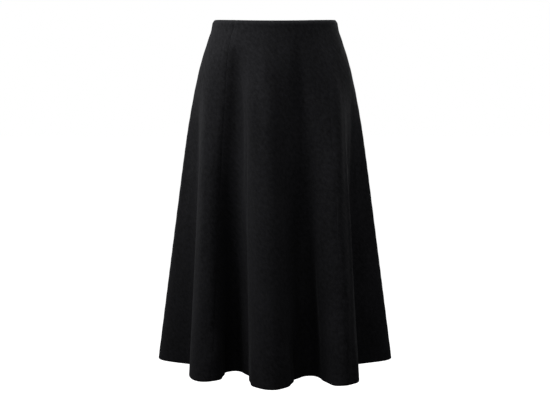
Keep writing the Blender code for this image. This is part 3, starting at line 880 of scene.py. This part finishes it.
def feltGroup():
    # Nap of a felted cloth: clumps of fibre lying a little aslant, fine fibres over them both ways, and
    # broad clouds where the nap was brushed. Puts out how light a spot is and how high
    group = bpy.data.node_groups.new("feltNap", "ShaderNodeTree")
    for name, way, kind in (("Place", "INPUT", "Vector"), ("Clumps", "INPUT", "Float"),
                            ("Fibres", "INPUT", "Float"), ("Clouds", "INPUT", "Float"),
                            ("Light", "OUTPUT", "Float"), ("Height", "OUTPUT", "Float")):
        group.interface.new_socket(name=name, in_out=way, socket_type="NodeSocket" + kind)
    given, result = group.nodes.new("NodeGroupInput").outputs, group.nodes.new("NodeGroupOutput").inputs

    layers = {}
    for name, (scale, turn, stretch, detail, rough) in napLayers.items():
        turned = addNode(group, "VectorRotate", {"Vector": given["Place"], "Angle": turn},
                         rotation_type="Z_AXIS")
        stretched = addNode(group, "VectorMath", {0: turned.outputs[0], 1: (1, stretch, 1)},
                            operation="MULTIPLY")
        noise = addNode(group, "TexNoise", {"Vector": stretched.outputs[0], "Scale": given[scale],
                                            "Detail": detail, "Roughness": rough})
        layers[name] = noise.outputs["Fac"]

    def summed(shares):
        # The clumps and each other layer times its share
        total = layers["clumps"]
        for name, share in shares.items():
            total = addNode(group, "Math", {0: layers[name], 1: share, 2: total},
                            operation="MULTIPLY_ADD").outputs[0]
        return total

    deep, lit = napShares["lightRange"]
    light = addNode(group, "MapRange", {"Value": summed(napShares["light"]),
                                        "From Min": deep, "From Max": lit})
    group.links.new(light.outputs["Result"], result["Light"])
    group.links.new(summed(napShares["height"]), result["Height"])
    return group


def newMaterial(name, allOver):
    made = bpy.data.materials.new(name)
    made.use_nodes = True
    for socket, value in allOver.items():
        made.node_tree.nodes["Principled BSDF"].inputs[socket].default_value = value
    return made


def twoToned(made, finish, mask, height):
    # Colour and roughness between their two values by the mask, and a bump by the height
    tree, shader = made.node_tree, made.node_tree.nodes["Principled BSDF"].inputs
    colour = addNode(tree, "Mix", {0: mask, 6: (*finish["deep"], 1), 7: (*finish["lit"], 1)},
                     data_type="RGBA")
    tree.links.new(colour.outputs[2], shader["Base Color"])
    if "rough" in finish:
        deep, lit = finish["rough"]
        rough = addNode(tree, "MapRange", {"Value": mask, "To Min": deep, "To Max": lit})
        tree.links.new(rough.outputs["Result"], shader["Roughness"])
    strong, high = finish["bump"]
    bump = addNode(tree, "Bump", {"Height": height, "Strength": strong, "Distance": high})
    tree.links.new(bump.outputs["Normal"], shader["Normal"])
    return made


def flatPlace(made):
    # Where a spot lies on the flat cloth
    return addNode(made.node_tree, "Attribute", {}, attribute_name="clothPlace").outputs["Vector"]


def woolMaterial():
    made = newMaterial("blackFeltedWool", wool["allOver"])
    nap = addNode(made.node_tree, "Group", {}, node_tree=feltGroup())
    for layer, scale in wool["scales"].items():
        nap.inputs[layer].default_value = scale
    made.node_tree.links.new(flatPlace(made), nap.inputs["Place"])
    return twoToned(made, wool, nap.outputs["Light"], nap.outputs["Height"])


def tapeMaterial():
    # A fine woven tape: two crossed waves, one times the other
    made = newMaterial("zipTapeWoven", tapeCloth["allOver"])
    place = flatPlace(made)
    ribs = [addNode(made.node_tree, "TexWave", {"Vector": place, "Scale": scale,
                                                "Distortion": tapeCloth["uneven"]},
                    bands_direction=direction).outputs["Fac"]
            for direction, scale in tapeCloth["ribs"].items()]
    woven = addNode(made.node_tree, "Math", {0: ribs[0], 1: ribs[1]}, operation="MULTIPLY").outputs[0]
    return twoToned(made, tapeCloth, woven, woven)


def grainyMaterial(name):
    # Thread, nylon or enamel: a noise in object space
    finish = finishes[name]
    made = newMaterial(name, finish["allOver"])
    space = addNode(made.node_tree, "TexCoord", {}).outputs["Object"]
    scale, detail = finish["grain"]
    noise = addNode(made.node_tree, "TexNoise", {"Vector": space, "Scale": scale, "Detail": detail})
    return twoToned(made, finish, noise.outputs["Fac"], noise.outputs["Fac"])


woolCloth, tapeWoven = woolMaterial(), tapeMaterial()
thread, nylon, enamel = [grainyMaterial(name) for name in finishes]

# The gores, each with its two seam allowances
for index, (name, (node, waistWide, midWide, hemWide, long)) in enumerate(gores.items()):
    face, back, across, down = goreGrids(index)
    parts, flats = [wallArrays(face, back)], [(across, down)]
    for seam, side in ((index, 1), (index + 1, -1)):
        near, far, stripAcross, stripDown = allowanceGrids(seam, side)
        parts.append(wallArrays(near, far))
        flats.append((stripAcross + across[cloth["flatRow"], 0 if side > 0 else -1], stripDown))
    mesh = meshFrom(name, *joined(parts))
    keepPlaces(mesh, *(np.concatenate([np.tile(flat[k].ravel(), 2) for flat in flats]) for k in (0, 1)))
    piece = newPiece(name, mesh, woolCloth)
    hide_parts(node)
print("gores made")


# Sewing inside: herringbone on the two turned edges, overlocking on the allowances
hemEdge = skirtForm["hemLevel"] - cloth["hemTurned"]
sewnPiece("hemStitches", herringbone("hem", hemEdge + threads["pastHemEdge"]), thread)
sewnPiece("waistStitches", herringbone("waist", cloth["waistTurned"] - threads["pastWaistEdge"]), thread)
sewnPiece("overlockStitches", joined([overlocking(allowanceGrids(seam, side), side)
                                      for seam in range(len(seamTable)) for side in (1, -1)]), thread)
print("stitches made")

# The zip: two tapes with their coils, the cord inside them, the rows that sew them on and the stop
for name, side, node in (("zipTapeRight", 1, "zip_tape_right"), ("zipTapeLeft", -1, "zip_tape_left")):
    near, far, across, down = tapeGrids(side)
    mesh = meshFrom(name, *wallArrays(near, far))
    keepPlaces(mesh, np.tile(across.ravel(), 2), np.tile(down.ravel(), 2))
    tape = newPiece(name, mesh, tapeWoven)
    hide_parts(node)
for name, half, material in (("zipCoil", coil, nylon), ("zipCord", fillerCord, thread),
                             ("zipStitches", tapeStitches, thread)):
    sewnPiece(name, joined([half(1), half(-1)]), material)
sewnPiece("zipStop", bottomStop(), enamel)
for node in ("zip_slider", "zip_pull"):
    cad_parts[node].data.materials.clear()
    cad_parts[node].data.materials.append(enamel)
print("zip made")

# The studio: a pale floor well below the hem, white surroundings, soft lamps round the skirt
studio = {
    "floorLevel": -0.98,
    "floorReach": 12,
    "floorPaint": {"Base Color": (0.9, 0.9, 0.9, 1), "Roughness": 0.9,
                   "Emission Color": (1, 1, 1, 1), "Emission Strength": 1.0},
    "surround": 0.015,      # what the white surroundings light the skirt with
    "aim": (0.0, 0.0, -0.2),
    "cameraPlace": (0.0, -2.5, -0.083),
    "cameraDown": 6.724,
    "lens": 80.24,
    "sensor": 36,
}

# place, size across, power
lamps = {
    "topLeft": ((-0.75, -0.27, 0.9), 0.5, 9.9),
    "keyFront": ((-0.27, -0.75, 0.9), 0.5, 2.2),
    "sideLeft": ((-0.89, 0.33, 0.0), 0.5, 1.4),
    "fillRight": ((0.92, -1.31, 0.7), 1.0, 1.6),
    "sideRight": ((0.89, -0.33, 0.0), 0.5, 0.55),
    "topRight": ((0.75, 0.27, 0.9), 0.5, 1.9),
    "rimRight": ((0.61, 0.73, 0.0), 0.5, 1.25),
    "behind": ((0.1, 1.3, 0.5), 0.8, 2.5),
}

reach = studio["floorReach"]
floorMesh = bpy.data.meshes.new("studioFloor")
floorMesh.from_pydata([(x * reach, y * reach, studio["floorLevel"])
                       for x, y in ((-1, -1), (1, -1), (1, 1), (-1, 1))], [], [(0, 1, 2, 3)])
floorMesh.materials.append(newMaterial("paleFloor", studio["floorPaint"]))
floor = placed("studioFloor", floorMesh)
floor.visible_diffuse = False   # its glow doesn't light the skirt
floor.visible_glossy = False

world = bpy.data.worlds.new("studioWorld")
bpy.context.scene.world = world
world.use_nodes = True
ground = world.node_tree.nodes["Background"].inputs
ground["Color"].default_value = (1, 1, 1, 1)
seen = addNode(world.node_tree, "LightPath", {}).outputs["Is Camera Ray"]
strength = addNode(world.node_tree, "Mix", {0: seen, 2: studio["surround"], 3: 1.0})
world.node_tree.links.new(strength.outputs[0], ground["Strength"])
bpy.context.scene.view_settings.view_transform = "Standard"

for name, (place, across, power) in lamps.items():
    softbox = bpy.data.lights.new(name, "AREA")
    softbox.size = across
    softbox.energy = power
    lamp = placed(name, softbox)
    lamp.location = place
    lamp.rotation_euler = (Vector(studio["aim"]) - Vector(place)).to_track_quat("-Z", "Y").to_euler()
    lamp.visible_camera = False

cameraData = bpy.data.cameras.new("camera")
cameraData.lens = studio["lens"]
cameraData.sensor_width = studio["sensor"]
camera = placed("camera", cameraData)
camera.location = studio["cameraPlace"]
camera.rotation_euler = (np.radians(90 - studio["cameraDown"]), 0, 0)
bpy.context.scene.camera = camera
print("studio ready")
